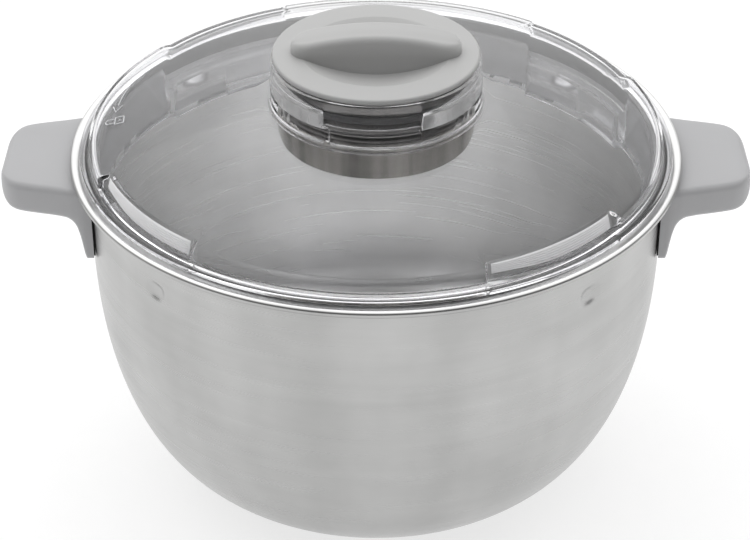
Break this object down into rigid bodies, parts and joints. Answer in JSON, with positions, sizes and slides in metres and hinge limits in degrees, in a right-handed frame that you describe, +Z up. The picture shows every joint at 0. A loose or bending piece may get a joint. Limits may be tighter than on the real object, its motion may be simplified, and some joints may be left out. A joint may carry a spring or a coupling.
{
  "type": "lidded cooking pot",
  "caption": "Round steel cooking bowl with two side handles, a clear twist-lock lid that lifts off and a twist-out grey cap with a cup in the lid's collar.",
  "frame": {"origin": "centre of the resting face under the base, z = 0 on the surface it stands on", "axes": "+X through the two handles, -Y towards the front, +Z up along the bowl's axis"},
  "size_m": [0.307, 0.25, 0.2016],
  "materials": {
    "bowl_steel": "brushed stainless steel, fine grain round the bowl",
    "bracket_steel": "plain pressed stainless strip",
    "screw_steel": "plain stainless screw",
    "disc_aluminium": "raw aluminium plate",
    "handle_plastic": "light grey moulded plastic, fine satin texture",
    "cap_plastic": "light grey moulded plastic, fine satin texture",
    "lid_clear": "clear moulded plastic, polished",
    "cup_smoke": "smoky translucent plastic, polished",
    "seal_silicone": "translucent silicone",
    "pad_rubber": "black heat-proof rubber"
  },
  "bodies": {
    "bowl": {"bowl_shell": "bowl_steel", "base_disc": "disc_aluminium", "base_cap": "bowl_steel", "left_handle_grip": "handle_plastic", "left_handle_cover": "handle_plastic", "left_handle_bracket": "bracket_steel", "left_handle_gasket": "pad_rubber", "left_handle_screw_front": "screw_steel", "left_handle_screw_back": "screw_steel", "right_handle_grip": "handle_plastic", "right_handle_cover": "handle_plastic", "right_handle_bracket": "bracket_steel", "right_handle_gasket": "pad_rubber", "right_handle_screw_front": "screw_steel", "right_handle_screw_back": "screw_steel"},
    "lid_seal_ring": {"lid_seal": "seal_silicone"},
    "lid": {"lid_shell": "lid_clear"},
    "cap_seal_ring": {"cap_seal": "seal_silicone"},
    "cap": {"cap_cup": "cup_smoke", "cap_cover": "cap_plastic"}
  },
  "joints": [
    {"name": "lid_lift", "type": "slide", "parent": "bowl", "child": "lid_seal_ring", "axis": [0, 0, 1], "range_m": [0, 0.08]},
    {"name": "lid_twist", "type": "hinge", "parent": "lid_seal_ring", "child": "lid", "pos_m": [0, 0, 0.148], "axis": [0, 0, 1], "range_deg": [0, 17]},
    {"name": "cap_lift", "type": "slide", "parent": "lid", "child": "cap_seal_ring", "axis": [0, 0, 1], "range_m": [0, 0.06]},
    {"name": "cap_twist", "type": "hinge", "parent": "cap_seal_ring", "child": "cap", "pos_m": [0, 0, 0.187], "axis": [0, 0, -1], "range_deg": [0, 30]}
  ]
}
